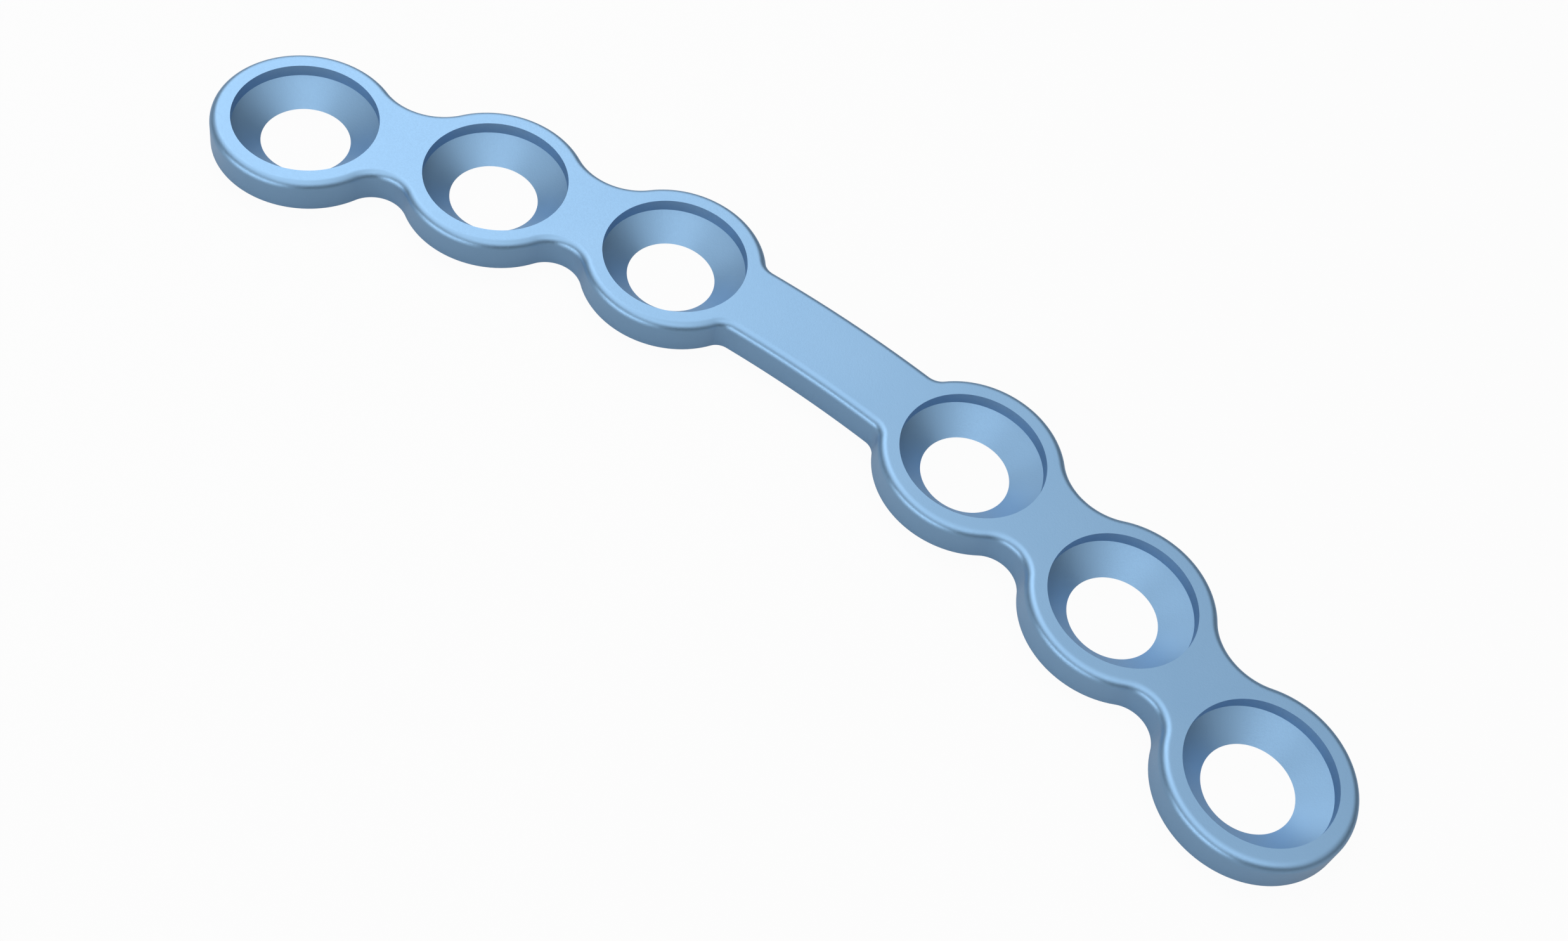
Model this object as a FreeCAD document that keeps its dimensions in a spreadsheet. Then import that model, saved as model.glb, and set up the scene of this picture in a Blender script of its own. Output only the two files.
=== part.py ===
import FreeCAD, Part

import math
import os
from collections import namedtuple

import Sketcher

# A flat bone plate for small countersunk screws, in millimetres.
# Its rings stand on one circular arc, on both sides of a plain bridge, and each
# ring holds one screw hole. The plate is milled in one piece.
# The body's own origin is the centre of the arc, level with the face that lies on
# the bone. Its placement brings the middle of that face's box to the origin.

DIMENSIONS = {
    # Centre line of the plate, which passes through the middle of every hole.
    "arc_radius": 30.0,
    # Between the two holes beside the bridge, along the centre line.
    "bridge_span": 8.5,
    # Between neighbouring holes of one side, along the centre line.
    "hole_pitch": 4.7,
    # Rings on each side of the bridge.
    "holes_per_side": 3,
    # Outside of a ring.
    "ring_diameter": 4.39,
    # Across the bridge.
    "bridge_width": 2.12,
    # From the underside to the top face.
    "plate_thickness": 0.78,
    # Narrowest part of a hole, at the underside.
    "throat_diameter": 2.1,
    # Straight wall at a hole's mouth, which takes the rim of the screw head.
    "seat_diameter": 3.44,
    # Height of that straight wall, down from the top face.
    "seat_depth": 0.31,
    # Between the bridge and the ring beside it.
    "bridge_fillet": 0.38,
    # Between two rings, on the hollow side of the arc.
    "inner_neck_fillet": 0.78,
    # Between two rings, on the bulging side of the arc.
    "outer_neck_fillet": 1.4,
    # Rounding of the top face's outer edge.
    "edge_rounding": 0.2,
}

# Angles at the arc's centre, in degrees: from the plate's middle to the first
# hole, and from each hole to the next.
FIRST_HOLE_ANGLE = "90 / pi * Dimensions.bridge_span / Dimensions.arc_radius"
PITCH_ANGLE = "180 / pi * Dimensions.hole_pitch / Dimensions.arc_radius"

# A cutting profile reaches this far past the faces that it cuts.
OVERCUT = 0.2

# Two heights closer than this are the same.
SAME_HEIGHT = 1e-6

# A curve's start, end and centre, as the sketcher numbers its points.
START, END, CENTRE = range(1, 4)

# The sketch's own axes, as the sketcher numbers them, and the point where they cross.
HORIZONTAL_AXIS, VERTICAL_AXIS = range(-1, -3, -1)
ORIGIN = (HORIZONTAL_AXIS, START)

Circle = namedtuple("Circle", "centre radius name")


def hole_angle(index):
    """Expression for a hole's angle from the middle, counted from the bridge outwards."""
    return f"({FIRST_HOLE_ANGLE} + {index} * {PITCH_ANGLE})"


def first_angle(index):
    """The same angle in radians, for drawing a sketch before its constraints."""
    along_arc = DIMENSIONS["bridge_span"] / 2 + index * DIMENSIONS["hole_pitch"]
    return along_arc / DIMENSIONS["arc_radius"]


def polar(radius, angle):
    """A point of the plate's plane, by its angle from the plate's middle."""
    return FreeCAD.Vector(radius * math.sin(angle), radius * math.cos(angle), 0)


def make_sheet(doc):
    """Write every driving dimension to a sheet, one row each, with its alias."""
    sheet = doc.addObject("Spreadsheet::Sheet", "Dimensions")
    for row, (name, value) in enumerate(DIMENSIONS.items(), start=1):
        sheet.set(f"A{row}", name)
        sheet.set(f"B{row}", str(value))
        sheet.setAlias(f"B{row}", name)
    doc.recompute()


def origin_feature(body, role):
    """One of the body's own origin planes or axes."""
    return next(item for item in body.Origin.OriginFeatures if item.Role == role)


def add_sketch(body, name, role):
    """An empty sketch on one of the body's origin planes."""
    sketch = body.newObject("Sketcher::SketchObject", name)
    sketch.AttachmentSupport = [(origin_feature(body, role), "")]
    sketch.MapMode = "FlatFace"
    return sketch


def constrain(sketch, kind, *places):
    """Add a constraint to a sketch and return its number."""
    return sketch.addConstraint(Sketcher.Constraint(kind, *places))


def measure(sketch, kind, *places, follows):
    """Add a dimension to a sketch and tie it to the sheet."""
    number = constrain(sketch, kind, *places)
    sketch.setExpression(f"Constraints[{number}]", follows)


def meeting_point(one, one_radius, other, other_radius, nearest_to):
    """Where two circles about two points cross, on the side nearer to a third point."""
    gap = other - one
    along = (one_radius**2 - other_radius**2 + gap.Length**2) / (2 * gap.Length)
    aside = math.sqrt(one_radius**2 - along**2)
    forward = FreeCAD.Vector(gap).normalize()
    sideways = FreeCAD.Vector(-forward.y, forward.x, 0)
    crossings = [one + forward * along + sideways * reach for reach in (aside, -aside)]
    return min(crossings, key=lambda point: point.distanceToPoint(nearest_to))


def bridge_edge(side):
    """The long edge of the bridge: side is 1 on the bulging side and -1 on the hollow one."""
    radius = DIMENSIONS["arc_radius"] + side * DIMENSIONS["bridge_width"] / 2
    return Circle(FreeCAD.Vector(), radius, "bridge_outside" if side > 0 else "bridge_inside")


def ring(index):
    """The outside of a ring, counted from the bridge outwards."""
    centre = polar(DIMENSIONS["arc_radius"], first_angle(index))
    return Circle(centre, DIMENSIONS["ring_diameter"] / 2, f"ring_{index}")


def bridge_fillet(side):
    """The fillet that joins the bridge's edge to the ring beside it."""
    fillet = DIMENSIONS["bridge_fillet"]
    edge, first = bridge_edge(side), ring(0)
    middle = polar(edge.radius, 0)
    from_edge = edge.radius + side * fillet
    from_ring = first.radius + fillet
    centre = meeting_point(edge.centre, from_edge, first.centre, from_ring, middle)
    return Circle(centre, fillet, "bridge_fillet")


def neck_fillet(index, side):
    """The fillet that joins a ring to the next one, on one side of the centre line."""
    name = "outer_neck_fillet" if side > 0 else "inner_neck_fillet"
    fillet = DIMENSIONS[name]
    near, far = ring(index), ring(index + 1)
    angle = (first_angle(index) + first_angle(index + 1)) / 2
    beside = polar(DIMENSIONS["arc_radius"] + side * DIMENSIONS["ring_diameter"], angle)
    reach = near.radius + fillet
    centre = meeting_point(near.centre, reach, far.centre, reach, beside)
    return Circle(centre, fillet, name)


def outline_circles():
    """Every arc of the half outline in clockwise order, with a fillet in every second place."""
    gaps = range(DIMENSIONS["holes_per_side"] - 1)
    chain = [bridge_edge(1), bridge_fillet(1), ring(0)]
    for index in gaps:
        chain += [neck_fillet(index, 1), ring(index + 1)]
    for index in reversed(gaps):
        chain += [neck_fillet(index, -1), ring(index)]
    return chain + [bridge_fillet(-1), bridge_edge(-1)]


def touching_point(one, other):
    """Where a fillet's circle touches the circle that it joins, in either order."""
    base, fillet = (one, other) if other.name.endswith("fillet") else (other, one)
    return base.centre + (fillet.centre - base.centre).normalize() * base.radius


def add_arc(sketch, circle, start, end):
    """Draw one arc of the outline and give its number and the points it runs between.

    The outline runs clockwise. It turns the other way only in a fillet and along
    the bridge's hollow side.
    """
    clockwise = not (circle.name.endswith("fillet") or circle.name == "bridge_inside")
    first, last = (end, start) if clockwise else (start, end)
    angles = [
        math.atan2(point.y - circle.centre.y, point.x - circle.centre.x) for point in (first, last)
    ]
    curve = Part.Circle(circle.centre, FreeCAD.Vector(0, 0, 1), circle.radius)
    number = sketch.addGeometry(Part.ArcOfCircle(curve, *angles), False)
    return (number, END, START) if clockwise else (number, START, END)


def draw_half_outline(sketch):
    """Draw the outline of the plate's right half and close it down the middle."""
    chain = outline_circles()
    top = polar(chain[0].radius, 0)
    bottom = polar(chain[-1].radius, 0)
    corners = [top] + [touching_point(*pair) for pair in zip(chain, chain[1:])] + [bottom]
    arcs = [
        add_arc(sketch, circle, start, end)
        for circle, start, end in zip(chain, corners, corners[1:])
    ]
    for (number, _, tail), (following, head, _) in zip(arcs, arcs[1:]):
        constrain(sketch, "Tangent", number, tail, following, head)

    middle = sketch.addGeometry(Part.LineSegment(bottom, top), False)
    first, first_head, _ = arcs[0]
    last, _, last_tail = arcs[-1]
    constrain(sketch, "Coincident", middle, START, last, last_tail)
    constrain(sketch, "Coincident", middle, END, first, first_head)
    for point in (START, END):
        constrain(sketch, "PointOnObject", middle, point, VERTICAL_AXIS)

    numbers = {}
    for circle, (number, _, _) in zip(chain, arcs):
        numbers.setdefault(circle.name, []).append(number)
    size_bridge(sketch, numbers)
    size_rings(sketch, numbers)


def size_bridge(sketch, numbers):
    """Tie the bridge's edges and all the fillets to the sheet."""
    for name, side in (("bridge_outside", "+"), ("bridge_inside", "-")):
        number = numbers[name][0]
        constrain(sketch, "Coincident", number, CENTRE, *ORIGIN)
        measure(
            sketch,
            "Radius",
            number,
            sketch.Geometry[number].Radius,
            follows=f"Dimensions.arc_radius {side} Dimensions.bridge_width / 2",
        )
    for name in ("bridge_fillet", "inner_neck_fillet", "outer_neck_fillet"):
        for number in numbers.get(name, []):
            measure(sketch, "Radius", number, DIMENSIONS[name], follows=f"Dimensions.{name}")


def size_rings(sketch, numbers):
    """Set each ring's radius and put its centre on the arc, at its hole's angle."""
    for index in range(DIMENSIONS["holes_per_side"]):
        circle = ring(index)
        number, *others = numbers[circle.name]
        measure(
            sketch, "Radius", number, circle.radius, follows="Dimensions.ring_diameter / 2"
        )
        for kind, turn, value in (
            ("DistanceX", "sin", circle.centre.x),
            ("DistanceY", "cos", circle.centre.y),
        ):
            measure(
                sketch,
                kind,
                *ORIGIN,
                number,
                CENTRE,
                value,
                follows=f"Dimensions.arc_radius * {turn}({hole_angle(index)})",
            )
        for other in others:
            constrain(sketch, "Coincident", other, CENTRE, number, CENTRE)
            constrain(sketch, "Equal", other, number)


def add_blank(body):
    """Pad the half outline to the plate's thickness and mirror it to the whole blank."""
    sketch = add_sketch(body, "HalfOutline", "XY_Plane")
    draw_half_outline(sketch)
    half = body.newObject("PartDesign::Pad", "HalfBlank")
    half.Profile = sketch
    half.setExpression("Length", "Dimensions.plate_thickness")
    body.Document.recompute()

    whole = body.newObject("PartDesign::Mirrored", "WholeBlank")
    whole.TransformMode = "Whole shape"
    whole.MirrorPlane = (origin_feature(body, "YZ_Plane"), [""])
    body.Tip = whole
    body.Document.recompute()
    return whole


def round_top_edge(body, blank):
    """Round the outer edge of the top face, all the way round the plate."""
    height = DIMENSIONS["plate_thickness"]
    names = [
        f"Edge{number}"
        for number, edge in enumerate(blank.Shape.Edges, start=1)
        if all(abs(vertex.Z - height) < SAME_HEIGHT for vertex in edge.Vertexes)
    ]
    rounding = body.newObject("PartDesign::Fillet", "TopEdge")
    rounding.Base = (blank, names)
    rounding.setExpression("Radius", "Dimensions.edge_rounding")
    body.Tip = rounding
    body.Document.recompute()
    return rounding


def draw_seat(sketch):
    """Half section of a screw hole, with the hole's axis as the sketch's vertical axis.

    A straight wall goes down from the top face, and one cone then narrows to the
    throat, which is a plain edge at the underside.
    """
    height = DIMENSIONS["plate_thickness"]
    wide = DIMENSIONS["seat_diameter"] / 2
    narrow = DIMENSIONS["throat_diameter"] / 2
    step = height - DIMENSIONS["seat_depth"]
    points = [
        FreeCAD.Vector(0, height + OVERCUT, 0),
        FreeCAD.Vector(0, -OVERCUT, 0),
        FreeCAD.Vector(narrow, -OVERCUT, 0),
        FreeCAD.Vector(narrow, 0, 0),
        FreeCAD.Vector(wide, step, 0),
        FreeCAD.Vector(wide, height + OVERCUT, 0),
    ]
    sides = [
        sketch.addGeometry(Part.LineSegment(start, end), False)
        for start, end in zip(points, points[1:] + points[:1])
    ]
    for side, following in zip(sides, sides[1:] + sides[:1]):
        constrain(sketch, "Coincident", side, END, following, START)
    axis, floor, throat, _, wall, lid = sides
    for point in (START, END):
        constrain(sketch, "PointOnObject", axis, point, VERTICAL_AXIS)
    for side in (throat, wall):
        constrain(sketch, "Vertical", side)
    for side in (floor, lid):
        constrain(sketch, "Horizontal", side)
    constrain(sketch, "PointOnObject", throat, END, HORIZONTAL_AXIS)
    constrain(sketch, "DistanceY", axis, END, *ORIGIN, OVERCUT)
    for kind, curve, point, value, follows in (
        ("DistanceX", throat, END, narrow, "Dimensions.throat_diameter / 2"),
        ("DistanceX", wall, START, wide, "Dimensions.seat_diameter / 2"),
        ("DistanceY", wall, START, step, "Dimensions.plate_thickness - Dimensions.seat_depth"),
        ("DistanceY", axis, START, height + OVERCUT, f"Dimensions.plate_thickness + {OVERCUT}"),
    ):
        measure(sketch, kind, *ORIGIN, curve, point, value, follows=follows)


def cut_screw_holes(body):
    """Turn the seat's section in the ring beside the bridge and repeat it in every ring."""
    section = add_sketch(body, "SeatSection", "XZ_Plane")
    across_middle = f"Dimensions.arc_radius * sin({hole_angle(0)})"
    up_from_centre = f"Dimensions.arc_radius * cos({hole_angle(0)})"
    section.setExpression("AttachmentOffset.Base.x", across_middle)
    section.setExpression("AttachmentOffset.Base.z", f"-{up_from_centre}")
    draw_seat(section)
    body.Document.recompute()

    seat = body.newObject("PartDesign::Groove", "ScrewHole")
    seat.Profile = section
    seat.ReferenceAxis = (section, ["V_Axis"])
    seat.Angle = 360
    body.Document.recompute()

    holes = body.newObject("PartDesign::MultiTransform", "ScrewHoles")
    along = body.newObject("PartDesign::PolarPattern", "AlongTheArc")
    along.Axis = (origin_feature(body, "Z_Axis"), [""])
    along.Mode = "Spacing"
    along.Reversed = True
    along.setExpression("Offset", PITCH_ANGLE)
    along.setExpression("Occurrences", "Dimensions.holes_per_side")
    across = body.newObject("PartDesign::Mirrored", "AcrossTheBridge")
    across.MirrorPlane = (origin_feature(body, "YZ_Plane"), [""])
    holes.Originals = [seat]
    holes.Transformations = [along, across]
    body.Tip = holes
    body.Document.recompute()


def place_body(body):
    """Bring the middle of the underside's box to the origin."""
    last = DIMENSIONS["holes_per_side"] - 1
    body.setExpression(
        "Placement.Base.y",
        f"-Dimensions.arc_radius * (cos({hole_angle(0)}) + cos({hole_angle(last)})) / 2",
    )
    body.Document.recompute()


def check(doc, body, blank):
    """Stop if a feature failed, a sketch is loose or the holes took nothing away."""
    for item in doc.Objects:
        if "Invalid" in item.State or "Error" in item.State:
            raise RuntimeError(f"{item.Name} failed: {item.State}")
        if item.TypeId == "Sketcher::SketchObject" and not item.FullyConstrained:
            raise RuntimeError(f"{item.Name} isn't fully constrained")
    shape = body.Shape
    if shape.isNull() or not shape.isValid() or len(shape.Solids) != 1:
        raise RuntimeError("the plate isn't one valid solid")
    if shape.Volume >= blank.Shape.Volume:
        raise RuntimeError("the screw holes cut nothing")


def main():
    """Build the plate and write it out."""
    doc = FreeCAD.newDocument("bone_plate")
    make_sheet(doc)
    body = doc.addObject("PartDesign::Body", "BonePlate")
    body.Label = "bone_plate"
    blank = add_blank(body)
    rounded = round_top_edge(body, blank)
    cut_screw_holes(body)
    place_body(body)
    check(doc, body, rounded)

    os.makedirs("parts", exist_ok=True)
    body.Shape.exportStep(f"parts/{body.Label}.step")
    box = body.Shape.optimalBoundingBox()
    print(f"{body.Label}: {body.Shape.Volume:.3f} mm3")
    print(f"{box.XLength:.3f} x {box.YLength:.3f} x {box.ZLength:.3f} mm, centre {box.Center}")


main()
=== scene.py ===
"""A small curved bone plate in blue anodised titanium, in a pale studio.

The plate is modelled in millimetres about the frame's origin and brought to
metres at the end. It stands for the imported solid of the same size.
"""

import logging
import math
from dataclasses import dataclass, field
from enum import Enum
from typing import Callable

import bmesh
import bpy
from mathutils import Matrix, Vector


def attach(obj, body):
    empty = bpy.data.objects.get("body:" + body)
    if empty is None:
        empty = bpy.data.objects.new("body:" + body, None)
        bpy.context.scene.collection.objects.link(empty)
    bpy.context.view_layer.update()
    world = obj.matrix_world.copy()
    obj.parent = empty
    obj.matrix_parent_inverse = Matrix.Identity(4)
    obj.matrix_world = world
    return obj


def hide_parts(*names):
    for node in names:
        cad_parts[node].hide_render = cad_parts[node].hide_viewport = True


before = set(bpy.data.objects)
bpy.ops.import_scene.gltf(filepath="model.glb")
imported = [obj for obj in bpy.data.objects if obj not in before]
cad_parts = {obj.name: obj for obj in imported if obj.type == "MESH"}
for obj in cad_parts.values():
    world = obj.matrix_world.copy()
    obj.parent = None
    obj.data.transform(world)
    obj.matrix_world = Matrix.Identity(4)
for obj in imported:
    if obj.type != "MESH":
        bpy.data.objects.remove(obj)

LOG = logging.getLogger("bone_plate")

# Metres in a millimetre.
MM = 0.001

# Two heights closer than this are the same, in millimetres.
SAME_HEIGHT = 1e-4

# Vertices closer than this are one, in millimetres.
SAME_PLACE = 1e-5

# The two halves' vertices on the mirror's plane are joined within this, in millimetres.
MIRROR_GAP = 1e-4

# Corners of a face in the narrow rows along an edge. The two large faces have more.
ROW_CORNERS = 4

# Nearly all of a noise lies between these two values.
NOISE_RANGE = (0.3, 0.7)

# Width of the picture on the camera's sensor, in millimetres.
SENSOR_WIDTH = 36.0

# The nearest and the farthest that the camera sees, in metres.
SIGHT = (0.001, 10.0)

UP = Vector((0, 0, 1))

Item = bmesh.types.BMEdge | bmesh.types.BMFace


def rest_selection() -> None:
    """Leave edit mode and deselect every object."""
    if bpy.context.object and bpy.context.object.mode != "OBJECT":
        bpy.ops.object.mode_set(mode="OBJECT")
    bpy.ops.object.select_all(action="DESELECT")


class Kind(Enum):
    """What is selected in edit mode, by Blender's own word for it."""

    EDGES = "EDGE"
    FACES = "FACE"


def select(piece: bpy.types.Object, kind: Kind, wanted: Callable[[Item], bool]) -> None:
    """Select the edges or the faces that pass a test, and nothing else, in edit mode.

    Args:
        piece: the object in edit mode.
        kind: whether edges or faces are selected.
        wanted: says of one of them whether it is selected.
    """
    bpy.ops.mesh.select_mode(type=kind.value)
    bpy.ops.mesh.select_all(action="DESELECT")
    mesh = bmesh.from_edit_mesh(piece.data)
    for item in mesh.edges if kind is Kind.EDGES else mesh.faces:
        if wanted(item):
            item.select_set(True)
    mesh.select_flush_mode()
    bmesh.update_edit_mesh(piece.data)


def lies_at(item: Item, height: float) -> bool:
    """Whether all of an edge's or a face's corners are at one height."""
    return all(abs(corner.co.z - height) < SAME_HEIGHT for corner in item.verts)


def is_closed(edge: bmesh.types.BMEdge) -> bool:
    """Whether an edge already has a face on each side."""
    return len(edge.link_faces) > 1


@dataclass(frozen=True)
class Circle:
    """A circle that the outline follows for a while.

    Attributes:
        centre: its middle, in the plate's plane.
        radius: its radius in millimetres.
        hollow: whether the outline runs anticlockwise along it, as in a fillet.
        fillet: whether it joins two others.
    """

    centre: Vector
    radius: float
    hollow: bool = False
    fillet: bool = False

    def touch(self, other: "Circle") -> Vector:
        """Where this circle and its neighbour touch, one of them being a fillet."""
        base, joint = (self, other) if other.fillet else (other, self)
        return base.centre + (joint.centre - base.centre).normalized() * base.radius


def meeting_point(one: Vector, reach: float, other: Vector, far: float, near: Vector) -> Vector:
    """Where two circles cross, on the side nearer to a third point.

    Args:
        one: centre of the first circle.
        reach: its radius.
        other: centre of the second circle.
        far: its radius.
        near: the point that picks one of the two crossings.

    Returns:
        The crossing.
    """
    gap = other - one
    along = (reach**2 - far**2 + gap.length_squared) / (2 * gap.length)
    aside = math.sqrt(reach**2 - along**2)
    forward = gap.normalized()
    sideways = Vector((-forward.y, forward.x, 0))
    crossings = [one + forward * along + sideways * side for side in (aside, -aside)]
    return min(crossings, key=lambda point: (point - near).length)


@dataclass
class PlateShape:
    """Sizes of the plate in millimetres, as in its solid, and the circles of its outline."""

    arc_radius: float = 30.0
    bridge_span: float = 8.5
    hole_pitch: float = 4.7
    holes_per_side: int = 3
    ring_diameter: float = 4.39
    bridge_width: float = 2.12
    thickness: float = 0.78
    throat_diameter: float = 2.1
    seat_diameter: float = 3.44
    seat_depth: float = 0.31
    bridge_fillet: float = 0.38
    inner_neck_fillet: float = 0.78
    outer_neck_fillet: float = 1.4
    edge_rounding: float = 0.2

    def hole_angle(self, index: int) -> float:
        """Angle of a hole from the plate's middle, counted from the bridge outwards."""
        return (self.bridge_span / 2 + index * self.hole_pitch) / self.arc_radius

    @property
    def arc_centre(self) -> Vector:
        """Centre of the arc, which puts the middle of the plate's box at the origin."""
        first, last = self.hole_angle(0), self.hole_angle(self.holes_per_side - 1)
        return Vector((0, -self.arc_radius * (math.cos(first) + math.cos(last)) / 2, 0))

    def polar(self, radius: float, angle: float) -> Vector:
        """A point by its distance from the arc's centre and its angle from the middle."""
        return self.arc_centre + Vector((math.sin(angle), math.cos(angle), 0)) * radius

    def bridge_edge(self, side: int) -> Circle:
        """The bridge's long edge: side is 1 on the bulging side and -1 on the hollow one."""
        radius = self.arc_radius + side * self.bridge_width / 2
        return Circle(self.arc_centre, radius, hollow=side < 0)

    def ring(self, index: int) -> Circle:
        """The outside of a ring of the right half, counted from the bridge outwards."""
        centre = self.polar(self.arc_radius, self.hole_angle(index))
        return Circle(centre, self.ring_diameter / 2)

    def bridge_corner(self, side: int) -> Circle:
        """The fillet between the bridge's edge and the ring beside it."""
        edge, first, fillet = self.bridge_edge(side), self.ring(0), self.bridge_fillet
        centre = meeting_point(
            edge.centre,
            edge.radius + side * fillet,
            first.centre,
            first.radius + fillet,
            self.polar(edge.radius, 0),
        )
        return Circle(centre, fillet, hollow=True, fillet=True)

    def neck(self, index: int, side: int) -> Circle:
        """The fillet between a ring and the next one, on one side of the centre line."""
        fillet = self.outer_neck_fillet if side > 0 else self.inner_neck_fillet
        near, far = self.ring(index), self.ring(index + 1)
        angle = (self.hole_angle(index) + self.hole_angle(index + 1)) / 2
        beside = self.polar(self.arc_radius + side * self.ring_diameter, angle)
        reach = near.radius + fillet
        centre = meeting_point(near.centre, reach, far.centre, reach, beside)
        return Circle(centre, fillet, hollow=True, fillet=True)

    def half_outline(self) -> list[Circle]:
        """The circles of the right half's outline, clockwise, every second one a fillet."""
        gaps = range(self.holes_per_side - 1)
        chain = [self.bridge_edge(1), self.bridge_corner(1), self.ring(0)]
        for index in gaps:
            chain += [self.neck(index, 1), self.ring(index + 1)]
        for index in reversed(gaps):
            chain += [self.neck(index, -1), self.ring(index)]
        return chain + [self.bridge_corner(-1), self.bridge_edge(-1)]

    def hole_centres(self) -> list[Vector]:
        """The middles of all the holes, on both sides of the bridge."""
        angles = [self.hole_angle(index) for index in range(self.holes_per_side)]
        return [self.polar(self.arc_radius, side * angle) for side in (-1, 1) for angle in angles]


@dataclass
class Plate:
    """The plate as one mesh, modelled from its outline upwards.

    Attributes:
        shape: its sizes.
        longest_step: the longest edge along the outline, in millimetres.
        widest_turn: the most that the outline turns from one edge to the next, in degrees.
        rounding_rows: rows of faces across the rounded edge.
        hole_sides: edges round a hole.
        shading_margin: width of the flat rows that keep the shading of flat faces flat.
        sharp_angle: edges that turn more than this stay sharp, in degrees.
        piece: the object, once it is started.
    """

    shape: PlateShape
    longest_step: float = 0.16
    widest_turn: float = 3.0
    rounding_rows: int = 14
    hole_sides: int = 160
    shading_margin: float = 0.025
    sharp_angle: float = 28
    piece: bpy.types.Object | None = field(default=None, init=False)

    def build(self) -> bpy.types.Object:
        """Model the plate.

        Returns:
            The finished object, in metres, at the frame's origin.
        """
        self.start()
        self.trace_half_outline()
        self.mirror_outline()
        self.raise_wall()
        self.round_top_edge()
        self.open_faces()
        for centre in self.shape.hole_centres():
            self.sink_seat(centre)
        self.close_face(0)
        self.close_face(self.shape.thickness)
        self.finish_mesh()
        return self.piece

    def start(self) -> None:
        """Begin with one vertex, on the bridge's bulging edge at the plate's middle."""
        rest_selection()
        bpy.ops.mesh.primitive_plane_add(size=1)
        self.piece = bpy.context.object
        self.piece.name = "plate"
        self.piece.data.name = "plate"
        bpy.ops.object.mode_set(mode="EDIT")
        bpy.ops.mesh.select_mode(type="VERT")
        bpy.ops.mesh.select_all(action="SELECT")
        bpy.ops.mesh.merge(type="CENTER")
        edge = self.shape.bridge_edge(1)
        bpy.ops.transform.translate(value=self.shape.polar(edge.radius, 0))

    def trace_half_outline(self) -> None:
        """Spin the vertex round one circle after another, clockwise round the right half."""
        chain = self.shape.half_outline()
        first = self.shape.polar(chain[0].radius, 0)
        last = self.shape.polar(chain[-1].radius, 0)
        corners = [first] + [a.touch(b) for a, b in zip(chain, chain[1:])] + [last]
        for circle, start, end in zip(chain, corners, corners[1:]):
            before, after = start - circle.centre, end - circle.centre
            turn = before.xy.angle_signed(after.xy)
            if circle.hollow and turn > 0:
                turn -= math.tau
            if not circle.hollow and turn < 0:
                turn += math.tau
            by_length = abs(turn) * circle.radius / self.longest_step
            by_turn = abs(math.degrees(turn)) / self.widest_turn
            bpy.ops.mesh.spin(
                steps=max(2, math.ceil(max(by_length, by_turn))),
                angle=turn,
                center=circle.centre,
                axis=UP,
            )

    def mirror_outline(self) -> None:
        """Mirror the half outline to a closed one and fill it."""
        bpy.ops.object.mode_set(mode="OBJECT")
        mirror = self.piece.modifiers.new("other_half", "MIRROR")
        mirror.use_axis = (True, False, False)
        mirror.use_mirror_merge = True
        mirror.merge_threshold = MIRROR_GAP
        bpy.ops.object.modifier_apply(modifier=mirror.name)
        bpy.ops.object.mode_set(mode="EDIT")
        bpy.ops.mesh.select_all(action="SELECT")
        bpy.ops.mesh.remove_doubles(threshold=SAME_PLACE)
        bpy.ops.mesh.edge_face_add()

    def raise_wall(self) -> None:
        """Extrude the filled outline to a row below the rounding, then to full height."""
        below = self.shape.thickness - self.shape.edge_rounding - self.shading_margin
        for rise in (below, self.shape.thickness - below):
            bpy.ops.mesh.extrude_region_move(TRANSFORM_OT_translate={"value": (0, 0, rise)})

    def round_top_edge(self) -> None:
        """Bevel the top face's rim to a quarter round and add a flat row inside it."""
        height = self.shape.thickness
        select(self.piece, Kind.EDGES, lambda edge: lies_at(edge, height))
        bpy.ops.mesh.bevel(
            offset_type="OFFSET",
            offset=self.shape.edge_rounding,
            segments=self.rounding_rows,
            profile=0.5,
            affect="EDGES",
            clamp_overlap=False,
        )
        select(self.piece, Kind.FACES, lambda face: lies_at(face, height))
        bpy.ops.mesh.inset(thickness=self.shading_margin, use_boundary=True)

    def open_faces(self) -> None:
        """Take away the two large faces, which are filled again round the holes."""
        for height in (0, self.shape.thickness):
            select(
                self.piece,
                Kind.FACES,
                lambda face, height=height: lies_at(face, height)
                and len(face.verts) > ROW_CORNERS,
            )
            bpy.ops.mesh.delete(type="ONLY_FACE")

    def sink_seat(self, centre: Vector) -> None:
        """Draw a hole's mouth and pull it down to its straight wall and its cone.

        Args:
            centre: the middle of the hole, in the plate's plane.
        """
        shape = self.shape
        bpy.ops.mesh.select_all(action="DESELECT")
        bpy.ops.mesh.primitive_circle_add(
            vertices=self.hole_sides,
            radius=shape.seat_diameter / 2,
            fill_type="NOTHING",
            location=centre + UP * shape.thickness,
        )
        bpy.ops.mesh.extrude_edges_move(
            TRANSFORM_OT_translate={"value": -UP * shape.seat_depth}
        )
        bpy.ops.mesh.extrude_edges_move(
            TRANSFORM_OT_translate={"value": -UP * (shape.thickness - shape.seat_depth)}
        )
        share = shape.throat_diameter / shape.seat_diameter
        bpy.ops.transform.resize(value=(share, share, 1), center_override=centre)

    def close_face(self, height: float) -> None:
        """Fill the face at one height, leaving its holes open.

        Args:
            height: the underside's or the top face's, in millimetres.
        """
        select(
            self.piece, Kind.EDGES, lambda edge: lies_at(edge, height) and not is_closed(edge)
        )
        bpy.ops.mesh.fill(use_beauty=True)

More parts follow.
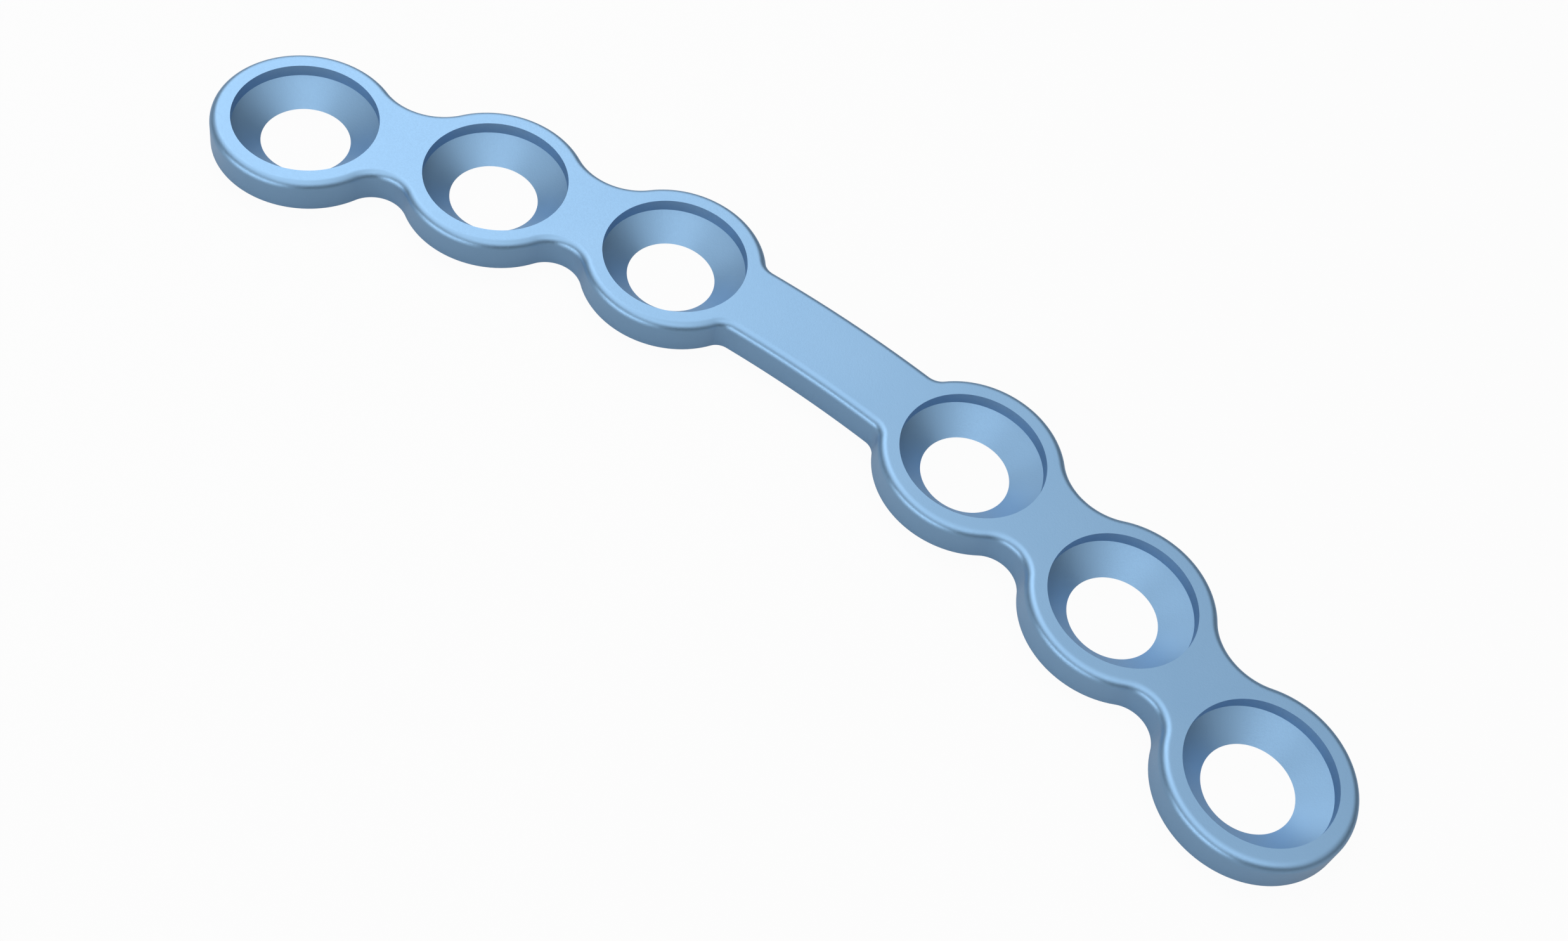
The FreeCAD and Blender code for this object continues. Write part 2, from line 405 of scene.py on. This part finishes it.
    def finish_mesh(self) -> None:
        """Join what meets, turn every face outwards, go to metres and set the shading."""
        bpy.ops.mesh.select_all(action="SELECT")
        bpy.ops.mesh.remove_doubles(threshold=SAME_PLACE)
        bpy.ops.mesh.normals_make_consistent(inside=False)
        bpy.ops.transform.resize(value=(MM, MM, MM), center_override=(0, 0, 0))
        bpy.ops.object.mode_set(mode="OBJECT")
        bpy.ops.object.shade_smooth_by_angle(angle=math.radians(self.sharp_angle))


@dataclass
class NodeBoard:
    """A node tree with short ways to add nodes and join them.

    Attributes:
        tree: the tree of a material, a world or a node group.
    """

    tree: bpy.types.NodeTree

    def add(self, kind: str, **settings: object) -> bpy.types.Node:
        """Add a node.

        Args:
            kind: Blender's name for its type, without "ShaderNode".
            settings: properties of the node, by name.

        Returns:
            The node.
        """
        node = self.tree.nodes.new(f"ShaderNode{kind}")
        for name, value in settings.items():
            setattr(node, name, value)
        return node

    def feed(self, target: bpy.types.NodeSocket, source: bpy.types.NodeSocket | float) -> None:
        """Join an output to an input, or set the input to a plain value."""
        if isinstance(source, bpy.types.NodeSocket):
            self.tree.links.new(source, target)
        else:
            target.default_value = source

    def calculate(
        self,
        operation: str,
        *values: bpy.types.NodeSocket | float,
    ) -> bpy.types.NodeSocket:
        """Add a Math node.

        Args:
            operation: what it does, such as "MULTIPLY".
            values: what goes into its inputs, in order.

        Returns:
            Its output.
        """
        node = self.add("Math", operation=operation)
        for target, source in zip(node.inputs, values):
            self.feed(target, source)
        return node.outputs[0]

    def remap(
        self,
        value: bpy.types.NodeSocket,
        before: tuple[float, float],
        after: tuple[float, float],
        interpolation: str = "LINEAR",
    ) -> bpy.types.NodeSocket:
        """Bring a value from one range to another.

        Args:
            value: the value.
            before: the low and the high end of its range.
            after: what they become.
            interpolation: Blender's name for the way between them.

        Returns:
            The new value.
        """
        node = self.add("MapRange", interpolation_type=interpolation)
        ends = zip(("From Min", "From Max", "To Min", "To Max"), (*before, *after))
        for name, source in (("Value", value), *ends):
            self.feed(node.inputs[name], source)
        return node.outputs["Result"]

    def blend(
        self,
        share: bpy.types.NodeSocket,
        first: tuple[float, float, float],
        second: tuple[float, float, float],
    ) -> bpy.types.NodeSocket:
        """Go from one colour to another.

        Args:
            share: how far along, from 0 to 1.
            first: the colour at 0.
            second: the colour at 1.

        Returns:
            The blended colour.
        """
        node = self.add("Mix", data_type="RGBA")
        self.feed(node.inputs["Factor"], share)
        ends = [socket for socket in node.inputs if socket.type == "RGBA"]
        for socket, colour in zip(ends, (first, second)):
            socket.default_value = (*colour, 1)
        return next(socket for socket in node.outputs if socket.type == "RGBA")

    def emboss(
        self, shader: bpy.types.Node, height: bpy.types.NodeSocket, depth: float
    ) -> None:
        """Give a shader a relief.

        Args:
            shader: the Principled node.
            height: the relief, from 0 to 1.
            depth: how deep it is in metres.
        """
        relief = self.add("Bump")
        relief.inputs["Strength"].default_value = 1
        relief.inputs["Distance"].default_value = depth
        self.feed(relief.inputs["Height"], height)
        self.feed(shader.inputs["Normal"], relief.outputs["Normal"])


class Speckle:
    """The node group of a fine grain and of wide clouds, which the finishes share."""

    NAME = "speckle"

    # How many finer layers each noise has.
    GRAIN_DETAIL = 1.0
    CLOUD_DETAIL = 3.0

    @classmethod
    def group(cls) -> bpy.types.NodeTree:
        """Give the group, built the first time that it is asked for."""
        if cls.NAME in bpy.data.node_groups:
            return bpy.data.node_groups[cls.NAME]
        tree = bpy.data.node_groups.new(cls.NAME, "ShaderNodeTree")
        for name, way, kind in (
            ("Place", "INPUT", "NodeSocketVector"),
            ("Grain Size", "INPUT", "NodeSocketFloat"),
            ("Cloud Size", "INPUT", "NodeSocketFloat"),
            ("Grain", "OUTPUT", "NodeSocketFloat"),
            ("Clouds", "OUTPUT", "NodeSocketFloat"),
        ):
            tree.interface.new_socket(name=name, in_out=way, socket_type=kind)
        board = NodeBoard(tree)
        inside = tree.nodes.new("NodeGroupInput")
        outside = tree.nodes.new("NodeGroupOutput")
        for size, result, detail in (
            ("Grain Size", "Grain", cls.GRAIN_DETAIL),
            ("Cloud Size", "Clouds", cls.CLOUD_DETAIL),
        ):
            noise = board.add("TexNoise")
            board.feed(noise.inputs["Vector"], inside.outputs["Place"])
            board.feed(
                noise.inputs["Scale"],
                board.calculate("DIVIDE", 1.0, inside.outputs[size]),
            )
            board.feed(noise.inputs["Detail"], detail)
            board.feed(outside.inputs[result], noise.outputs["Fac"])
        return tree

    @classmethod
    def place(cls, board: NodeBoard, grain: float, clouds: float) -> bpy.types.Node:
        """Put the group in a material, on Object coordinates.

        Args:
            board: the material's tree.
            grain: size of a grain in metres.
            clouds: size of a cloud in metres.

        Returns:
            The group's node.
        """
        node = board.add("Group", node_tree=cls.group())
        board.feed(node.inputs["Place"], board.add("TexCoord").outputs["Object"])
        board.feed(node.inputs["Grain Size"], grain)
        board.feed(node.inputs["Cloud Size"], clouds)
        return node


@dataclass(frozen=True)
class AnodisedTitanium:
    """Blasted satin titanium under the thin clear layer that makes it blue.

    Attributes:
        colour: what the layer reflects where it is thinnest.
        deep_colour: what it reflects where it is thickest.
        grain: size of the blasted grain in millimetres.
        clouds: size of the clouds where the layer's thickness wanders, in millimetres.
        smoothest: lowest roughness.
        roughest: highest roughness.
        depth: depth of the grain in millimetres.
        grain_share: how far the colour follows the grain. The rest follows the clouds.
        metal: how far it reflects as bare metal. The rest is scattered by the layer.
    """

    colour: tuple[float, float, float] = (0.258, 0.436, 0.645)
    deep_colour: tuple[float, float, float] = (0.238, 0.414, 0.625)
    grain: float = 0.035
    clouds: float = 2.2
    smoothest: float = 0.35
    roughest: float = 0.43
    depth: float = 0.0012
    grain_share: float = 0.4
    metal: float = 0.8

    def material(self) -> bpy.types.Material:
        """Build the finish.

        Returns:
            The material.
        """
        made = bpy.data.materials.new("anodised_titanium")
        made.use_nodes = True
        board = NodeBoard(made.node_tree)
        shader = made.node_tree.nodes["Principled BSDF"]
        shader.inputs["Metallic"].default_value = self.metal
        speckle = Speckle.place(board, self.grain * MM, self.clouds * MM)
        grain, clouds = speckle.outputs["Grain"], speckle.outputs["Clouds"]

        from_clouds = board.calculate("MULTIPLY", clouds, 1 - self.grain_share)
        both = board.calculate("MULTIPLY_ADD", grain, self.grain_share, from_clouds)
        thinness = board.remap(both, NOISE_RANGE, (0, 1))
        board.feed(
            shader.inputs["Base Color"], board.blend(thinness, self.deep_colour, self.colour)
        )
        board.feed(
            shader.inputs["Roughness"],
            board.remap(grain, NOISE_RANGE, (self.smoothest, self.roughest)),
        )
        board.emboss(shader, grain, self.depth * MM)
        return made


@dataclass(frozen=True)
class Photographer:
    """The camera, placed round a point of the plate as a photographer would say it.

    Attributes:
        target: the point in the middle of the picture, in millimetres.
        distance: from there to the camera, in millimetres.
        azimuth: how far the camera has walked to the right, in degrees.
        elevation: how high it stands above the horizon, in degrees.
        roll: how far it leans, in degrees.
        lens: its focal length in millimetres.
    """

    target: tuple[float, float, float] = (1.0454, -1.3995, 0.0)
    distance: float = 43.8395
    azimuth: float = 20.409
    elevation: float = 52.941
    roll: float = 17.9976
    lens: float = 44.9258

    def place(self) -> bpy.types.Object:
        """Add the camera and make it the scene's.

        Returns:
            The camera object.
        """
        lens = bpy.data.cameras.new("camera")
        lens.lens = self.lens
        lens.sensor_width = SENSOR_WIDTH
        lens.clip_start, lens.clip_end = SIGHT
        camera = bpy.data.objects.new("camera", lens)
        bpy.context.scene.collection.objects.link(camera)
        turn, rise = math.radians(self.azimuth), math.radians(self.elevation)
        back = Vector(
            (math.sin(turn) * math.cos(rise), -math.cos(turn) * math.cos(rise), math.sin(rise))
        )
        level = UP.cross(back).normalized()
        upright = back.cross(level)
        lean = math.radians(self.roll)
        right = level * math.cos(lean) + upright * math.sin(lean)
        place = (Vector(self.target) + back * self.distance) * MM
        axes = Matrix((right, back.cross(right), back)).transposed()
        camera.matrix_world = Matrix.Translation(place) @ axes.to_4x4()
        bpy.context.scene.camera = camera
        return camera


def compass(azimuth: float, elevation: float) -> Vector:
    """The direction of a place in the room.

    Args:
        azimuth: degrees from the back towards the right.
        elevation: degrees above the horizon.

    Returns:
        The direction, one unit long.
    """
    turn, rise = math.radians(azimuth), math.radians(elevation)
    return Vector(
        (math.sin(turn) * math.cos(rise), math.cos(turn) * math.cos(rise), math.sin(rise))
    )


@dataclass(frozen=True)
class Softbox:
    """A rectangular lamp that faces the plate.

    Attributes:
        name: what a photographer would call it.
        azimuth: where it stands, in degrees from the back towards the right.
        elevation: how high it stands, in degrees above the floor.
        width: its width in metres.
        height: its height in metres.
        radiance: how bright its face is. White paper in plain light is 1.
        distance: from the plate's middle, in metres.
    """

    name: str
    azimuth: float
    elevation: float
    width: float
    height: float
    radiance: float
    distance: float = 0.4

    def place(self) -> bpy.types.Object:
        """Add the lamp.

        Returns:
            The lamp object.
        """
        lamp = bpy.data.lights.new(self.name, "AREA")
        lamp.shape = "RECTANGLE"
        lamp.size = self.width
        lamp.size_y = self.height
        lamp.energy = self.radiance * math.pi * self.width * self.height
        box = bpy.data.objects.new(self.name, lamp)
        bpy.context.scene.collection.objects.link(box)
        away = compass(self.azimuth, self.elevation)
        across = away.cross(UP).normalized()
        axes = Matrix((across, away.cross(across), away)).transposed()
        box.matrix_world = Matrix.Translation(away * self.distance) @ axes.to_4x4()
        box.visible_camera = False
        return box


@dataclass(frozen=True)
class PaperFloor:
    """Pale satin paper under the plate, which runs out of sight on every side.

    Attributes:
        tone: how much light the paper sends back.
        tone_drift: how far that wanders from place to place.
        sheen: roughness of its satin surface.
        sheen_drift: how far the roughness wanders with the fibres.
        fibre: size of the paper's fibres in millimetres.
        clouds: size of its paler and darker clouds in millimetres.
        relief: height of the fibres in millimetres.
        shown_white: how far the camera sees it as plain white. The rest keeps the
            plate's shadow.
        reflected_white: how far reflections and clear things show it as plain white.
        side: its side in metres.
    """

    tone: float = 0.5
    tone_drift: float = 0.015
    sheen: float = 0.25
    sheen_drift: float = 0.04
    fibre: float = 0.12
    clouds: float = 6.0
    relief: float = 0.001
    shown_white: float = 0.95
    reflected_white: float = 0.1
    side: float = 4.0

    def build(self) -> bpy.types.Object:
        """Lay the floor.

        Returns:
            The floor.
        """
        rest_selection()
        bpy.ops.mesh.primitive_plane_add(size=self.side)
        floor = bpy.context.object
        floor.name = "floor"
        floor.data.materials.append(self.material())
        return floor

    def material(self) -> bpy.types.Material:
        """Build the paper's finish.

        Returns:
            The material.
        """
        made = bpy.data.materials.new("white_paper")
        made.use_nodes = True
        board = NodeBoard(made.node_tree)
        paper = made.node_tree.nodes["Principled BSDF"]
        speckle = Speckle.place(board, self.fibre * MM, self.clouds * MM)
        fibres, clouds = speckle.outputs["Grain"], speckle.outputs["Clouds"]
        tone = board.remap(
            clouds, NOISE_RANGE, (self.tone - self.tone_drift, self.tone + self.tone_drift)
        )
        grey = board.add("CombineColor")
        for name in ("Red", "Green", "Blue"):
            board.feed(grey.inputs[name], tone)
        board.feed(paper.inputs["Base Color"], grey.outputs["Color"])
        board.feed(
            paper.inputs["Roughness"],
            board.remap(
                fibres,
                NOISE_RANGE,
                (self.sheen - self.sheen_drift, self.sheen + self.sheen_drift),
            ),
        )
        board.emboss(paper, fibres, self.relief * MM)

        white = board.add("Emission")
        white.inputs["Strength"].default_value = 1
        mix = board.add("MixShader")
        board.feed(mix.inputs["Fac"], self.white_share(board))
        board.feed(mix.inputs[1], paper.outputs["BSDF"])
        board.feed(mix.inputs[2], white.outputs["Emission"])
        output = made.node_tree.nodes["Material Output"]
        board.feed(output.inputs["Surface"], mix.outputs["Shader"])
        return made

    def white_share(self, board: NodeBoard) -> bpy.types.NodeSocket:
        """How far a ray sees plain white, by the kind of ray."""
        rays = board.add("LightPath").outputs
        mirrored = board.calculate("MAXIMUM", rays["Is Glossy Ray"], rays["Is Transmission Ray"])
        reflected = board.calculate("MULTIPLY", mirrored, self.reflected_white)
        return board.calculate(
            "MULTIPLY_ADD", rays["Is Camera Ray"], self.shown_white, reflected
        )


@dataclass(frozen=True)
class Glow:
    """A wide patch of light on the room's white walls, which fades out all round.

    Attributes:
        name: what a photographer would call it.
        azimuth: where its middle is, in degrees from the back towards the right.
        elevation: how high its middle is, in degrees above the horizon.
        reach: how far from its middle it has faded out, in degrees.
        radiance: how bright its middle is. White paper in plain light is 1.
    """

    name: str
    azimuth: float
    elevation: float
    reach: float
    radiance: float

    def add_to(
        self,
        board: NodeBoard,
        direction: bpy.types.NodeSocket,
        light: bpy.types.NodeSocket | float,
    ) -> bpy.types.NodeSocket:
        """Add the patch to the light that there is already.

        Args:
            board: the world's tree.
            direction: where a ray goes, one unit long.
            light: the light from there so far.

        Returns:
            The light from there with this patch.
        """
        nearness = board.add("VectorMath", operation="DOT_PRODUCT")
        board.feed(nearness.inputs[0], direction)
        nearness.inputs[1].default_value = compass(self.azimuth, self.elevation)
        fade = board.remap(
            nearness.outputs["Value"],
            (math.cos(math.radians(self.reach)), 1.0),
            (0.0, self.radiance),
            "SMOOTHSTEP",
        )
        return board.calculate("ADD", fade, light)


@dataclass(frozen=True)
class WhiteRoom:
    """The room, whose walls and ceiling send the light of the lamps back.

    Attributes:
        level: the light from where no patch is, where white paper in plain light is 1.
        glows: the patches of light on its walls and ceiling.
    """

    level: float = 0.1
    glows: tuple[Glow, ...] = (
        Glow("ceiling", 0, 90, 65, 1.05),
        Glow("left_ceiling", -90, 60, 35, 0.5),
        Glow("front_ceiling", 150, 60, 35, 0.55),
        Glow("left_wall", -90, 36, 32, 0.35),
        Glow("back_left_corner", -45, 36, 32, 1.5),
        Glow("right_wall", 90, 36, 32, 0.3),
    )

    def build(self) -> bpy.types.World:
        """Make the world.

        Returns:
            The world.
        """
        world = bpy.data.worlds.new("white_room")
        world.use_nodes = True
        board = NodeBoard(world.node_tree)
        direction = board.add("VectorMath", operation="NORMALIZE")
        board.feed(direction.inputs[0], board.add("TexCoord").outputs["Generated"])
        light = self.level
        for glow in self.glows:
            light = glow.add_to(board, direction.outputs["Vector"], light)
            LOG.info("%s: radiance %.2f", glow.name, glow.radiance)
        background = world.node_tree.nodes["Background"]
        background.inputs["Color"].default_value = (1, 1, 1, 1)
        board.feed(background.inputs["Strength"], light)
        bpy.context.scene.world = world
        return world


@dataclass(frozen=True)
class Studio:
    """The paper floor, the white room and two low softboxes in front."""

    floor: PaperFloor = PaperFloor()
    room: WhiteRoom = WhiteRoom()
    lamps: tuple[Softbox, ...] = (
        Softbox("left_strip", -150, 10, 0.23, 0.2, 2.25),
        Softbox("front_strip", 178, 10, 0.23, 0.2, 2.15),
    )

    def build(self) -> None:
        """Set the studio up."""
        self.floor.build()
        self.room.build()
        for lamp in self.lamps:
            lamp.place()
            LOG.info("%s: radiance %.2f", lamp.name, lamp.radiance)


def main() -> None:
    """Build the plate, the studio and the camera in order."""
    logging.basicConfig(level=logging.INFO, format="%(name)s: %(message)s")
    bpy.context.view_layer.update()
    shape = PlateShape()
    piece = Plate(shape).build()
    piece.data.materials.append(AnodisedTitanium().material())
    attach(piece, "root")
    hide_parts("bone_plate")
    LOG.info("plate: %d vertices, %d faces", len(piece.data.vertices), len(piece.data.polygons))
    Studio().build()
    Photographer().place()
    bpy.context.scene.view_settings.view_transform = "Standard"


if __name__ == "__main__":
    main()
